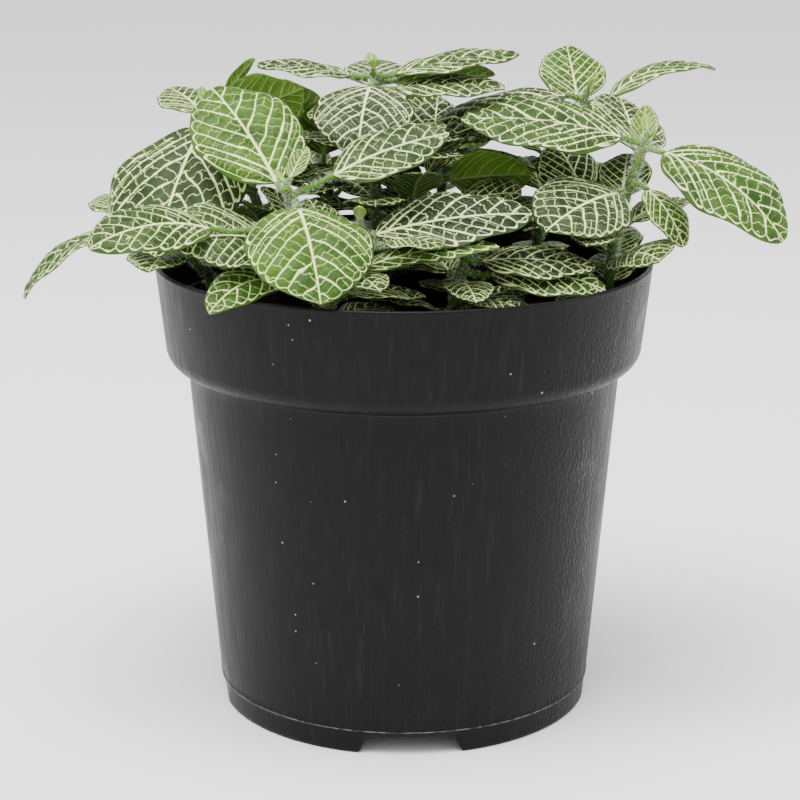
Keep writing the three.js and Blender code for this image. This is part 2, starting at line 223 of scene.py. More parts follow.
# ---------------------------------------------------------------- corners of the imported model
def node_corners(node):
    """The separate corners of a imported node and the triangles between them."""
    same_place = 0.002 * MM
    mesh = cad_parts[node].data
    loose = np.empty(len(mesh.vertices) * 3)
    mesh.vertices.foreach_get("co", loose)
    loose = loose.reshape(-1, 3)
    triangles = np.empty(len(mesh.polygons) * 3, np.int32)
    mesh.polygons.foreach_get("vertices", triangles)
    _, first, index = np.unique(np.round(loose / same_place).astype(int), axis=0,
                                return_index=True, return_inverse=True)
    return loose[first], np.asarray(index).ravel()[triangles].reshape(-1, 3)


def node_rings(node, from_lowest):
    """The node's rings of eight corners in order, from its lowest eight corners or from its thick round end."""
    corners, triangles = node_corners(node)
    near = np.zeros((len(corners), len(corners)), bool)
    for a, b in ((0, 1), (1, 2), (2, 0)):
        near[triangles[:, a], triangles[:, b]] = near[triangles[:, b], triangles[:, a]] = True
    if from_lowest:
        ring = np.zeros(len(corners), bool)
        ring[np.argsort(corners[:, 2])[:8]] = True
    else:
        ends = near.sum(0) != 6
        ring = np.zeros(len(corners), bool)
        ring[np.flatnonzero(ends)[0]] = True
        for _ in range(8):
            ring |= near[ring].any(0) & ends
        other = ends & ~ring
        spread = [np.linalg.norm(corners[e] - corners[e].mean(0), axis=1).mean() for e in (ring, other)]
        ring = ring if spread[0] > spread[1] else other
    rings, seen = [], np.zeros(len(corners), bool)
    while ring.any():
        rings.append(np.flatnonzero(ring))
        seen |= ring
        ring = near[ring].any(0) & ~seen
    return corners, rings, near


def in_turn(ring, near):
    """The eight corners of a ring in order around it."""
    order = [ring[0]]
    while len(order) < len(ring):
        following = [c for c in ring if near[order[-1], c] and c not in order]
        order.append(following[0])
    return np.array(order)


def leaf_frame(node):
    """Centre line, side, top and half-width of a packed leaf at BLADE_SHARES, and its petiole's centre line.

    A blade ring's edges are its two corners furthest apart. The ring's middle corners lie lower than their
    neighbours above and below, because of the midrib, which tells the top from the underside.
    """
    corners, rings, near = node_rings(node, from_lowest=False)
    centres = np.array([corners[r].mean(0) for r in rings])
    along = unit(np.gradient(centres[3:], axis=0))
    centre, side, top, half = [], [], [], []
    for row, ring in enumerate(rings[4:-1], start=1):
        p = corners[in_turn(ring, near)]
        k = int(np.argmax([np.linalg.norm(p[i] - p[i + 4]) for i in range(4)]))
        p = np.roll(p, -k, axis=0)
        down = (p[2] - (p[1] + p[3]) / 2) + (p[6] - (p[5] + p[7]) / 2)
        across = unit(p[0] - p[4])
        up = np.cross(along[row], across)
        if up @ down > 0:
            across, up = -across, -up
        half.append(np.linalg.norm(p[0] - p[4]) / 2)
        side.append(across)
        top.append(up)
        middles = (p[2] + p[6]) / 2
        centre.append(middles + up * 0.2 * MM)
    centre = np.array([centres[3], *centre, centres[-1]])
    side = np.array([side[0], *side, side[-1]])
    top = np.array([top[0], *top, top[-1]])
    full = np.array(half) / outline(BLADE_SHARES[1:-1])
    return centre, side, top, np.median(full), centres[:4]


def outline(share):
    """Half-width of the blade as a share of its widest: a broad oval with rounded ends."""
    skew = np.log(0.5) / np.log(LEAF_WIDEST)
    return np.sin(np.pi * np.clip(share, 0, 1) ** skew).clip(0) ** LEAF_FULLNESS


# ---------------------------------------------------------------- leaf blades
def vein_lines(u, v, wide, half, length, youth, rng):
    """The side veins' number, the gap between them in mm and the rung line in mm, at each point of a blade.

    u is the share along, v the share across from -1 to 1, and wide the half-width at each u. Each side vein starts
    on the midrib and runs at about 45 degrees to the margin, bending to the tip, so its start is the share along
    less a sweep that grows with the step out; below the middle the step out is a share of the width there, which
    fans the veins from the blade's foot. Their number rises evenly with the start, faster just above the foot and
    slower below it. The rung line counts millimetres square to the veins.
    """
    out = wide * np.abs(v)
    span = np.maximum.accumulate(wide)
    rise = np.gradient(span[:, 0], u[:, 0])[:, None]
    ratio = half / length
    sweep, bend = (0.9 + 0.1 * rng.uniform(-1, 1)) * ratio, 0.42 * ratio
    reach = out / span
    start = u - sweep * reach - bend * reach ** 2.4
    slope = sweep + 2.4 * bend * reach ** 1.4
    pairs = 1 - 0.3 * youth + 0.08 * rng.uniform(-1, 1)
    soft = np.hypot(start, 0.06)
    number = pairs * (4.1 * start + 1.7 * soft + 0.6 * np.tanh(start / 0.12)) + 0.22 * np.sign(v) + 8
    steep = pairs * (4.1 + 1.7 * start / soft + 5 / np.cosh(start / 0.12) ** 2)
    steep = steep * np.hypot((1 + slope * reach * rise / span) / length, slope / span)
    step_mm = np.clip(1 / steep / MM, 0.05, 8)
    lean = 1.25 * (sweep + bend) * length / half
    rung_mm = (u * length + out / lean) / np.hypot(1, 1 / lean) / MM
    return number, step_mm, rung_mm


def blade_skin(centre, side, top, half, growth, fine=True):
    """A net-veined blade on its centre line. growth is its tone, which is partly painted shade, seed, youth and
    painted grey sheen.

    It is a sheet about 0.4 mm thick, widest near the middle by the outline, folded up along the midrib and arched
    back down to the margin, with a groove along the midrib above and a keel below. It is quilted by the sine of
    the side veins' number, and its margin waves a little. The marks carry the vein lines to its finishes.
    """
    tone, seed, youth, painted_sheen = growth
    rng = np.random.default_rng(int(seed * 1000))
    rows, columns = (66, 41) if fine else (42, 25)
    t = np.linspace(0, 1, rows)
    share = np.clip(0.55 * t + 0.45 * (0.5 - 0.5 * np.cos(np.pi * t)), 0.0015, 0.9985)
    s = np.linspace(1, -1, columns)
    over = 0.6 * s + 0.4 * np.sin(np.pi / 2 * s)
    below = np.concatenate([np.zeros(columns, bool), np.ones(columns - 2, bool)])
    middle = through(BLADE_SHARES, centre, share)
    across = unit(through(BLADE_SHARES, side, share))
    upward = unit(through(BLADE_SHARES, top, share))
    length = np.linalg.norm(np.diff(middle, axis=0), axis=1).sum()
    wide = (outline(share) * half)[:, None]
    u, v = share[:, None], np.concatenate([over, over[-2:0:-1]])[None]
    number, step_mm, rung_mm = vein_lines(u, v, wide, half, length, youth, rng)

    far = np.abs(v)
    out, margin = wide * far, wide * (1 - far)
    quilt = np.abs(np.sin(np.pi * number)) ** 0.75 * ease(out, 0.2 * MM, 1.6 * MM) * ease(margin, 0, 1.8 * MM)
    quilt = quilt * 0.042 * half * ease(step_mm, 0.6, 2.2)
    wave = 2 * np.pi * (2.1 * u + rng.uniform(0, 1)) + np.sign(v) * rng.uniform(0, 3)
    ripple = 0.045 * half * far ** 3 * np.sin(wave)
    ripple = ripple + 0.05 * half * far ** 2 * rng.uniform(-1, 1) * np.sin(np.pi * u)
    groove = 0.22 * MM * np.exp(-(out / (0.55 * MM)) ** 2) * (1 - 0.6 * u)
    keel = (0.2 + 0.5 * (1 - u)) * MM * np.exp(-(out / (0.65 * MM)) ** 2)
    thick = 0.2 * MM * np.sqrt(np.clip(1 - far ** 5, 0, 1))
    lift = wide * (LEAF_FOLD * far - LEAF_ARCH * far ** 2) + ripple * ease(u, 0, 0.15) + quilt
    lift = lift + np.where(below[None], -thick - keel, thick - groove)
    rings = middle[:, None] + across[:, None] * (v * wide)[..., None] + upward[:, None] * lift[..., None]

    size = np.clip(length / (32 * MM), 0.2, 1.3) ** 0.5
    same = np.ones_like(far * u)
    return closed_skin(
        rings, np.concatenate([np.zeros(columns - 1, int), np.ones(columns - 1, int)]),
        rib=np.stack([number * same, step_mm * same, rung_mm * same], -1),
        margin=np.stack([np.sign(v) * out / MM * same, margin / MM * same, u * same], -1),
        growth=np.broadcast_to(np.array([tone, seed, youth]), rings.shape),
        habit=np.broadcast_to(np.array([size, painted_sheen, 0]), rings.shape))


def petiole_skin(knots, seed, girth=1.0):
    """A leaf's stalk, from inside the stem to under the blade, thickest at its foot, with hairs."""
    gaps = np.linalg.norm(np.diff(knots, axis=0), axis=1)
    at = np.concatenate([[0], np.cumsum(gaps)])
    path = through(at, knots, np.linspace(0, at[-1], 14))
    foot = path[0] - unit(path[1] - path[0]) * np.linspace(1.6, 0.4, 3)[:, None] * MM
    path = np.vstack([foot, path])
    radii = np.linspace(1.15, 0.85, len(path)) * PETIOLE_RADIUS * girth
    count = int(40 + at[-1] / MM * PETIOLE_HAIRS_PER_MM)
    return [tube(path, radii, 14, finish=2), hairs(path, radii, count, PETIOLE_HAIR, seed, finish=3)]


# ---------------------------------------------------------------- finishes
class Finish:
    """A material's shader nodes, joined one by one. Numbers and other nodes' outputs can both be inputs."""

    def __init__(self, name, **settings):
        self.material = bpy.data.materials.new(name)
        self.material.use_nodes = True
        self.tree = self.material.node_tree
        self.shader = self.tree.nodes["Principled BSDF"]
        for socket, value in settings.items():
            self.shader.inputs[socket.replace("_", " ")].default_value = value

    def node(self, kind, settings, **inputs):
        """A new shader node with its settings, and its inputs by name or, as i0, i1 and so on, by number."""
        made = self.tree.nodes.new(kind)
        for name, value in settings.items():
            setattr(made, name, value)
        for name, value in inputs.items():
            self.join(value, made.inputs[int(name[1:]) if name[0] == "i" and name[1:].isdigit() else name])
        return made

    def join(self, value, socket):
        """Link another node's output to the socket, or write a number in it."""
        if isinstance(value, bpy.types.NodeSocket):
            self.tree.links.new(value, socket)
        else:
            socket.default_value = value

    def calc(self, operation, a, b=0.0, c=0.0):
        """One sum of up to three numbers."""
        return self.node("ShaderNodeMath", {"operation": operation}, i0=a, i1=b, i2=c).outputs[0]

    def times(self, a, b):
        return self.calc("MULTIPLY", a, b)

    def minus(self, a, b):
        return self.calc("SUBTRACT", a, b)

    def step(self, value, low, high, start=0.0, end=1.0):
        """A smooth step of value, from start at low to end at high."""
        made = self.node("ShaderNodeMapRange", {"interpolation_type": "SMOOTHSTEP"}, Value=value)
        for name, number in (("From Min", low), ("From Max", high), ("To Min", start), ("To Max", end)):
            self.join(number, made.inputs[name])
        return made.outputs[0]

    def mix(self, share, a, b):
        """Colour a, with a share of colour b."""
        made = self.node("ShaderNodeMix", {"data_type": "RGBA"})
        self.join(share, made.inputs[0])
        self.join(a, made.inputs[6])
        self.join(b, made.inputs[7])
        return made.outputs[2]

    def parts(self, mark):
        """The three numbers that a mark holds at each point."""
        made = self.node("ShaderNodeAttribute", {"attribute_name": mark})
        split = self.node("ShaderNodeSeparateXYZ", {}, Vector=made.outputs["Vector"])
        return split.outputs[0], split.outputs[1], split.outputs[2]

    def place(self, scale=(1, 1, 1)):
        """Object coordinates, scaled."""
        at = self.node("ShaderNodeTexCoord", {}).outputs["Object"]
        return self.node("ShaderNodeMapping", {}, Vector=at, Scale=scale).outputs[0]

    def noise(self, vector, scale, detail=3.0, rough=0.55):
        """Cloudy noise from 0 to 1, with scale lumps to a metre."""
        return self.node("ShaderNodeTexNoise", {}, Vector=vector, Scale=scale, Detail=detail,
                         Roughness=rough).outputs[0]

    def cells(self, vector, feature, random=1.0, scale=1.0):
        """Random cells: the distance to each one's middle, and a colour of its own."""
        made = self.node("ShaderNodeTexVoronoi", {"feature": feature}, Vector=vector, Scale=scale,
                         Randomness=random)
        return made.outputs

    def join3(self, x, y, z):
        """A vector of three numbers."""
        return self.node("ShaderNodeCombineXYZ", {}, i0=x, i1=y, i2=z).outputs[0]

    def bump(self, height, strength, depth, under=None):
        """A surface that a height makes rough, on top of another bump if one is given."""
        made = self.node("ShaderNodeBump", {}, Height=height, Strength=strength, Distance=depth)
        if under is not None:
            self.join(under, made.inputs["Normal"])
        return made.outputs[0]

    def set(self, socket, value):
        """Give the shader a number or another node's output."""
        self.join(value, self.shader.inputs[socket])


def rgb(code):
    """A linear colour from a web colour code."""
    values = np.array([int(code[i:i + 2], 16) / 255 for i in (0, 2, 4)])
    linear = np.where(values <= 0.04045, values / 12.92, ((values + 0.055) / 1.055) ** 2.4)
    return (*linear, 1.0)


def vein_net(f):
    """How strongly the main veins, the fine net and a halo show at a point, and the blade's marks that colour it.

    Midrib and side veins are lines of even width in millimetres. The side veins stop at a scalloped loop just
    inside the margin. Rungs cross from one side vein to the next every two millimetres or so, each strip with its
    own start, and a short vein lengthwise splits some of the meshes.
    """
    number, step_mm, rung = f.parts("rib")
    lateral_mm, margin_mm, share = f.parts("margin")
    tone, seed, youth = f.parts("growth")
    size, painted_sheen, _ = f.parts("habit")
    out_mm = f.calc("ABSOLUTE", lateral_mm)
    hand = f.calc("MULTIPLY_ADD", seed, 3.0, f.calc("SIGN", lateral_mm))
    lay = f.join3(f.times(lateral_mm, 0.2), f.times(number, 0.9), seed)
    drift = f.minus(f.noise(lay, 1.0, 1.0), 0.5)
    close = f.join3(f.times(lateral_mm, 0.5), f.times(number, 1.9), hand)
    wobble = f.minus(f.noise(close, 1.0, 1.0), 0.5)
    shifted = f.calc("MULTIPLY_ADD", drift, 0.5, f.calc("MULTIPLY_ADD", wobble, 0.14, number))
    near = f.calc("PINGPONG", shifted, 0.5)
    side_mm = f.times(near, step_mm)

    def line(distance, half):
        """1 on a line of that half-width in mm, which grows with the leaf, and a soft edge."""
        half = f.times(half, size)
        return f.step(distance, f.minus(half, 0.09), f.calc("ADD", half, 0.1), 1.0, 0.0)

    mid = line(out_mm, f.calc("MULTIPLY_ADD", share, -0.29, 0.46))
    arch = f.calc("POWER", f.calc("MULTIPLY_ADD", near, -2.0, 1.0), 2.0)
    scallop = f.calc("MULTIPLY_ADD", arch, f.calc("MINIMUM", f.times(step_mm, 0.36), 1.2), 0.55)
    scallop = f.times(f.calc("MULTIPLY_ADD", wobble, 0.5, scallop), size)
    inside = f.step(f.minus(margin_mm, scallop), -0.12, 0.12)
    side = f.times(line(side_mm, f.step(margin_mm, 0.5, 8.0, 0.145, 0.225)), inside)
    loop = line(f.calc("ABSOLUTE", f.minus(margin_mm, scallop)), 0.17)
    loop = f.times(loop, f.step(share, 0.03, 0.12))
    strip = f.calc("FLOOR", shifted)
    chance = f.node("ShaderNodeTexWhiteNoise", {"noise_dimensions": "2D"},
                    Vector=f.join3(strip, hand, 0.0)).outputs["Value"]
    pitch = f.times(size, 2.7)
    rung = f.calc("ADD", f.calc("DIVIDE", rung, pitch), f.times(chance, 3.0))
    rung = f.calc("MULTIPLY_ADD", wobble, 0.9, rung)
    rung_gap = f.times(f.calc("PINGPONG", rung, 0.5), pitch)
    mesh = f.node("ShaderNodeTexWhiteNoise", {"noise_dimensions": "3D"},
                  Vector=f.join3(strip, f.calc("FLOOR", rung), hand)).outputs
    middle = f.minus(f.calc("FRACT", shifted), f.calc("MULTIPLY_ADD", chance, 0.3, 0.35))
    middle = f.calc("MULTIPLY_ADD", wobble, 0.5, middle)
    split = line(f.times(f.calc("ABSOLUTE", middle), step_mm), 0.1)
    split = f.times(split, f.step(mesh["Value"], 0.72, 0.74))
    net = f.calc("MAXIMUM", line(rung_gap, 0.12), split)
    net = f.times(net, f.times(inside, f.step(step_mm, 0.35, 0.9)))
    strong = f.calc("MAXIMUM", mid, f.calc("MAXIMUM", side, f.times(loop, 0.9)))
    halo = f.step(side_mm, 0.1, 1.3, 1.0, 0.0)
    return strong, net, halo, (tone, youth, painted_sheen), margin_mm


def leaf_top():
    """The velvety upper side: deep to bright green by the leaf's tone, with painted shade on leaves that lie in
    shade, a painted grey sheen on some, and cream veins sunk into it.
    """
    f = Finish("nerve_leaf_top", Sheen_Weight=0.03, Sheen_Roughness=0.35, Specular_IOR_Level=0.1)
    strong, net, halo, (tone, youth, painted_sheen), margin = vein_net(f)
    spot = f.place()
    patch = f.step(f.noise(spot, 130.0, 3.0), 0.3, 0.7)
    grain = f.noise(spot, 1500.0, 3.0, 0.65)
    dark = f.mix(patch, rgb("0a1206"), rgb("17250d"))
    bright = f.mix(patch, rgb("294811"), rgb("466c16"))
    # Painted shade: a low tone darkens the green of leaves that lie in shade, on top of their own dark or bright
    # green.
    green = f.mix(tone, dark, bright)
    # Painted sheen: a grey-green mixed into the base colour stands in for the grey reflection off the velvety upper
    # side.
    green = f.mix(painted_sheen, green, f.mix(patch, rgb("1d2319"), rgb("3c4134")))
    green = f.mix(f.times(halo, 0.14), green, rgb("527428"))
    green = f.mix(f.step(margin, 0.1, 0.7, 0.15, 0.0), green, rgb("5c8030"))
    green = f.mix(f.times(youth, 0.75), green, rgb("8cc01c"))
    green = f.mix(f.step(grain, 0.35, 0.75, 0.0, 0.06), green, rgb("6f8c60"))
    fade = f.calc("MULTIPLY_ADD", youth, -0.45, 1.0)
    cream = f.mix(patch, rgb("e6f6a4"), rgb("f1fbbc"))
    fine = f.mix(tone, rgb("d2e4a2"), rgb("d9ee88"))
    faint = f.times(net, f.calc("MULTIPLY_ADD", tone, -0.32, 0.92))
    colour = f.mix(f.times(faint, fade), green, fine)
    colour = f.mix(f.times(strong, fade), colour, cream)
    f.set("Base Color", colour)
    veins = f.calc("MAXIMUM", strong, f.times(net, 0.7))
    f.set("Roughness", f.step(veins, 0.0, 1.0, 0.42, 0.55))
    relief = f.bump(f.minus(1.0, veins), 0.8, 0.3 * MM)
    f.set("Normal", f.bump(grain, 0.14, 0.1 * MM, relief))
    return f.material


def leaf_underside():
    """The pale matt underside, where the veins stand out as faint lighter lines."""
    f = Finish("nerve_leaf_underside", Roughness=0.6, Sheen_Weight=0.05, Sheen_Roughness=0.5,
               Specular_IOR_Level=0.15)
    strong, net, _, (tone, youth, _), _ = vein_net(f)
    spot = f.place()
    patch = f.noise(spot, 240.0, 3.0)
    pale = f.mix(patch, rgb("5f8f22"), rgb("82b038"))
    # Painted shade: a low tone darkens the underside of leaves that lie in shade as well.
    pale = f.mix(tone, rgb("31491a"), pale)
    pale = f.mix(f.times(youth, 0.6), pale, rgb("b2cb55"))
    pale = f.mix(f.times(net, 0.4), pale, rgb("94b464"))
    f.set("Base Color", f.mix(f.times(strong, 0.6), pale, rgb("b4cf84")))
    veins = f.calc("MAXIMUM", strong, f.times(net, 0.5))
    relief = f.bump(veins, 0.7, 0.3 * MM)
    f.set("Normal", f.bump(f.noise(spot, 1600.0), 0.25, 0.1 * MM, relief))
    return f.material


def stem_green(name, low, high, tip):
    """Juicy green stalk with fine lengthwise streaks."""
    f = Finish(name, Roughness=0.5, Specular_IOR_Level=0.2)
    spot = f.place((1, 1, 0.25))
    streak = f.noise(spot, 900.0, 3.0)
    patch = f.noise(f.place(), 120.0, 2.0)
    colour = f.mix(streak, rgb(low), rgb(high))
    f.set("Base Color", f.mix(f.step(patch, 0.4, 0.75, 0.0, 0.6), colour, rgb(tip)))
    f.set("Normal", f.bump(streak, 0.4, 0.15 * MM))
    return f.material


def hair_white():
    """Hairs: silvery white, a little greener in places."""
    f = Finish("stem_hair", Roughness=0.7, Sheen_Weight=0.3)
    f.set("Base Color", f.mix(f.noise(f.place(), 300.0), rgb("dfe8d2"), rgb("f4f6ee")))
    return f.material


LEAF_TOP, LEAF_UNDERSIDE = leaf_top(), leaf_underside()
STALK = stem_green("leaf_stalk", "355c14", "5a8528", "7a9f42")
STEM = stem_green("stem_skin", "2f4a1a", "4f6e2e", "6f8c44")
HAIR = hair_white()
LEAF_FINISHES = [LEAF_TOP, LEAF_UNDERSIDE, STALK, HAIR]

# ---------------------------------------------------------------- stems
def grow_stems():
    """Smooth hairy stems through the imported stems' rings, thicker at each pair of leaves and thinner to the tip.

    Gives each shoot's ring centres, and the share up the stem that each lies at.
    """
    shoots = {}
    for seed, node in enumerate(sorted(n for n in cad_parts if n.startswith("stem_")), start=1):
        corners, rings, _ = node_rings(node, from_lowest=True)
        centres = np.array([corners[r].mean(0) for r in rings])
        at = np.concatenate([[0], np.cumsum(np.linalg.norm(np.diff(centres, axis=0), axis=1))])
        length = at[-1]
        path = through(at, centres, np.linspace(0, length, 44))
        shoots[node.removeprefix("stem_")] = (at / length, centres)
        share = np.linspace(0, 1, len(path))
        swell = 1 + 0.16 * np.maximum(0, np.cos(share * 2 * np.pi * 4.5)) ** 6
        radii = STEM_RADIUS * np.linspace(1.0, 0.72, len(path)) * swell
        radii[-3:] *= [0.96, 0.86, 0.62]
        body = tube(path, radii, 20)
        fuzz = hairs(path[12:], radii[12:], int(length / MM * STEM_HAIRS_PER_MM), STEM_HAIR, seed, finish=1)
        add_piece("hairy_" + node, [body, fuzz], [STEM, HAIR], [node])
    return shoots


# ---------------------------------------------------------------- leaves
# Tone from dark to bright green, partly the leaf's own green and partly painted shade on leaves that lie in shade,
# and how strongly a painted grey sheen covers the upper side.
LEAF_TONE_SHADE_AND_SHEEN = {
    "left_big": (0.35, 0.45), "left_top": (0.5, 0.2), "left_blade": (0.6, 0), "left_under": (0.55, 0),
    "far_left_outer": (0.5, 0.1), "far_left_tip": (0.5, 0), "far_left_under": (0.3, 0),
    "front_left_front": (0.95, 0.12), "front_left_upper": (0.85, 0), "front_left_right": (0.4, 0.4),
    "front_left_low": (0.5, 0.25), "front_left_left": (0.35, 0.3), "front_left_hang": (0.85, 0),
    "top_front": (0.1, 0.55), "top_left": (0.3, 0.2), "top_right_up": (0.4, 0.1), "top_right_low": (0.3, 0.3),
    "top_right_under": (0.3, 0.2), "top_left_low": (0.2, 0.3), "top_back": (0.3, 0.2),
    "right_right": (0.65, 0.05), "right_left": (0.45, 0.15), "right_back": (0.25, 0.3),
    "right_lowleft": (0.2, 0.5), "right_lowright": (0.55, 0), "right_low_tip": (0.35, 0.1),
    "right_low_dark": (0.1, 0), "right_dark": (0.05, 0.1),
    "back_right_top": (0.8, 0), "back_right_left": (0.2, 0.5), "back_right_right": (0.6, 0.2),
    "back_centre_dark": (0.08, 0.1), "back_centre_under": (0.7, 0), "back_centre_front": (0.12, 0.15),
    "front_centre_right": (0.02, 0.12), "front_centre_long": (0.6, 0), "front_centre_small": (0.25, 0.1),
    "front_right_mid": (0.08, 0.1), "front_right_rim": (0.4, 0.1),
}


def blade_points(centre, side, half):
    """Five points across the blade at each of its rings."""
    reach = (outline(BLADE_SHARES) * half)[:, None, None] * np.array([-0.9, -0.45, 0, 0.45, 0.9])[None, :, None]
    return (centre[:, None] + side[:, None] * reach).reshape(-1, 3)


def grow_leaves():
    """A smooth veined leaf in place of each packed one. Gives points all over their blades."""
    points = []
    for count, node in enumerate(sorted(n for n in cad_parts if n.startswith("leaf_")), start=1):
        centre, side, top, half, stalk = leaf_frame(node)
        tone, painted_sheen = LEAF_TONE_SHADE_AND_SHEEN.get(node.removeprefix("leaf_"), (0.35, 0.1))
        surfaces = [blade_skin(centre, side, top, half, (tone, 0.37 + count * 1.13, 0.0, painted_sheen)),
                    *petiole_skin(stalk, 200 + count)]
        add_piece("veined_" + node, surfaces, LEAF_FINISHES, [node])
        points.append(blade_points(centre, side, half))
    return np.vstack(points)


def leaf_lines(foot, turn, pitch, stalk, length, width, droop, roll):
    """Centre line, side, top and stalk of a leaf from its foot. Its pitch falls evenly by droop along the blade.

    Also gives points all over the blade. Headings, pitches, droop and roll are in degrees, and lengths in mm.
    """
    steps = np.array([heading(turn, pitch + droop * (0.5 - (a + b) / 2))
                      for a, b in zip(BLADE_SHARES[:-1], BLADE_SHARES[1:])])
    base = foot + heading(turn, pitch + droop / 2) * (stalk + 0.6) * MM
    gaps = np.diff(BLADE_SHARES)[:, None] * length * MM
    centre = np.vstack([base, base + np.cumsum(steps * gaps, axis=0)])
    along = np.array([heading(turn, pitch + droop * (0.5 - a)) for a in BLADE_SHARES])
    side = unit(heading(turn + 90) - along * (along @ heading(turn + 90))[:, None])
    top = np.cross(along, side)
    lean = np.radians(roll)
    side, top = side * np.cos(lean) + top * np.sin(lean), top * np.cos(lean) - side * np.sin(lean)
    stalk_line = foot + (base - foot) * np.array([0, 0.35, 0.7, 1.0])[:, None]
    return centre, side, top, stalk_line, blade_points(centre, side, width * MM / 2)


def room(points, others):
    """Shortest distance from any of the points to the others."""
    square = (points ** 2).sum(1)[:, None] + (others ** 2).sum(1)[None] - 2 * points @ others.T
    return np.sqrt(max(square.min(), 0))


# Young leaves at the tips: name, shoot, share up the stem, heading, pitch, stalk, length, width, droop, roll,
# tone, youth.
YOUNG_LEAVES = [
    ("front_left_tip", "front_left", 1.0, 48, 48, 1.5, 8.5, 6.5, 10, 0, 0.7, 0.1),
    ("front_left_bud", "front_left", 1.0, 150, 50, 0.5, 3.5, 2.5, 10, 0, 0.9, 0.7),
    ("back_right_bud", "back_right", 1.0, -60, 50, 0.5, 3.5, 2.5, 20, 0, 0.9, 0.8),
    ("right_bud", "right", 0.92, 76, 64, 0.8, 10, 7.2, 12, -12, 0.95, 0.22),
    ("right_tip", "right", 1.0, 100, 65, 0.5, 4, 3, 20, 0, 0.9, 0.7),
    ("left_bud", "left", 1.0, -60, 40, 0.5, 4, 3, 20, 0, 0.8, 0.5),
    ("left_tip", "left", 1.0, 120, 60, 0.5, 4, 3, 20, 0, 0.8, 0.5),
    ("top_bud", "top", 1.0, -80, 30, 0.5, 4, 3, 15, 0, 0.7, 0.4),
    ("top_tip", "top", 1.0, 100, 40, 0.5, 4, 3, 15, 0, 0.7, 0.4),
    ("back_centre_bud", "back_centre", 1.0, -60, 50, 0.5, 4, 3, 15, 0, 0.6, 0.4),
    ("front_centre_bud", "front_centre", 1.0, -90, 50, 0.5, 4, 3, 20, 0, 0.5, 0.4),
    ("far_left_bud", "far_left", 1.0, 200, 60, 0.5, 4, 3, 20, 0, 0.6, 0.4),
    ("front_right_bud", "front_right", 1.0, -60, 60, 0.5, 4, 3, 20, 0, 0.5, 0.4),
    ("back_left_bud", "back_left", 1.0, 120, 60, 0.5, 5, 4, 20, 0, 0.7, 0.6),
    ("back_mid_bud", "back_mid", 1.0, 90, 60, 0.5, 5, 4, 20, 0, 0.7, 0.6),
]


def grow_young_leaves(shoots):
    """Young leaves and buds at the tips of the shoots."""
    for count, row in enumerate(YOUNG_LEAVES, start=1):
        name, shoot, up, *lay, tone, youth = row
        half = lay[4] * MM / 2
        foot = through(*shoots[shoot], np.array([up]))[0]
        centre, side, top, stalk, _ = leaf_lines(foot, *lay)
        surfaces = [blade_skin(centre, side, top, half, (tone, 61.0 + 1.7 * count, youth, 0.0), fine=False),
                    *petiole_skin(stalk, 500 + count, 0.6)]
        add_piece("young_leaf_" + name, surfaces, LEAF_FINISHES)


# Older leaves low on the shoots, in pairs: shoot, share up the stem, heading of the pair, length, width, tone.
LOWER_PAIRS = [
    ("top", 0.3, 20, 22, 16, 0.1), ("top", 0.42, 110, 22, 16, 0.15), ("top", 0.58, 30, 20, 14, 0.12),
    ("back_centre", 0.4, 60, 20, 15, 0.1), ("back_centre", 0.55, 150, 18, 14, 0.1),
    ("front_centre", 0.45, 10, 18, 14, 0.15), ("front_right", 0.45, 100, 18, 13, 0.1),
    ("right", 0.35, 60, 19, 14, 0.15), ("right", 0.52, 150, 18, 14, 0.15),
    ("back_right", 0.35, 10, 22, 16, 0.15), ("back_right", 0.5, 100, 22, 16, 0.2),
    ("back_right", 0.68, 20, 20, 15, 0.2), ("back_mid", 0.35, 60, 22, 16, 0.2),
    ("back_mid", 0.75, 150, 22, 16, 0.3), ("back_left", 0.35, 70, 22, 16, 0.2),
    ("back_left", 0.72, 160, 22, 16, 0.3), ("left", 0.35, 80, 20, 15, 0.15), ("left", 0.5, 170, 20, 15, 0.15),
    ("left", 0.7, 100, 18, 14, 0.2), ("front_left", 0.35, 100, 18, 14, 0.15),
    ("far_left", 0.45, 90, 18, 13, 0.2), ("front_left", 0.2, 30, 17, 13, 0.1),
    ("front_left", 0.5, 20, 17, 13, 0.15), ("front_centre", 0.3, 80, 17, 13, 0.1),
    ("front_centre", 0.62, 120, 16, 12, 0.15), ("front_right", 0.3, 20, 17, 13, 0.1),
    ("front_right", 0.62, 160, 16, 12, 0.15), ("left", 0.25, 30, 18, 14, 0.1), ("left", 0.6, 45, 18, 14, 0.15),
    ("back_centre", 0.28, 0, 18, 14, 0.1), ("back_centre", 0.68, 100, 17, 13, 0.15),
    ("top", 0.2, 70, 20, 15, 0.1), ("top", 0.5, 70, 19, 14, 0.15), ("top", 0.7, 120, 18, 13, 0.15),
    ("right", 0.22, 20, 18, 13, 0.1), ("right", 0.62, 100, 17, 13, 0.15), ("back_right", 0.22, 60, 20, 15, 0.1),
    ("back_right", 0.6, 60, 19, 14, 0.15), ("back_mid", 0.22, 20, 20, 15, 0.15),
    ("back_mid", 0.55, 100, 20, 15, 0.2), ("back_left", 0.22, 120, 20, 15, 0.15),
    ("back_left", 0.55, 30, 20, 15, 0.2), ("back_left", 0.86, 20, 19, 14, 0.3),
    ("back_mid", 0.88, 0, 19, 14, 0.3), ("top", 0.64, 0, 19, 14, 0.15), ("back_centre", 0.8, 30, 18, 13, 0.2),
    ("back_left", 0.64, 80, 19, 14, 0.2), ("back_mid", 0.65, 45, 19, 14, 0.2),
]
LOWER_SWINGS = (0, 20, -20, 40, -40, 60, -60)
LOWER_PITCHES = (12, -4, 28, 46)
LOWER_STALK, LOWER_DROOP = 4, 35
LOWER_REACH = 72 * MM
LEAST_ROOM = 1.0 * MM
LEAST_GAIN = 0.4 * MM


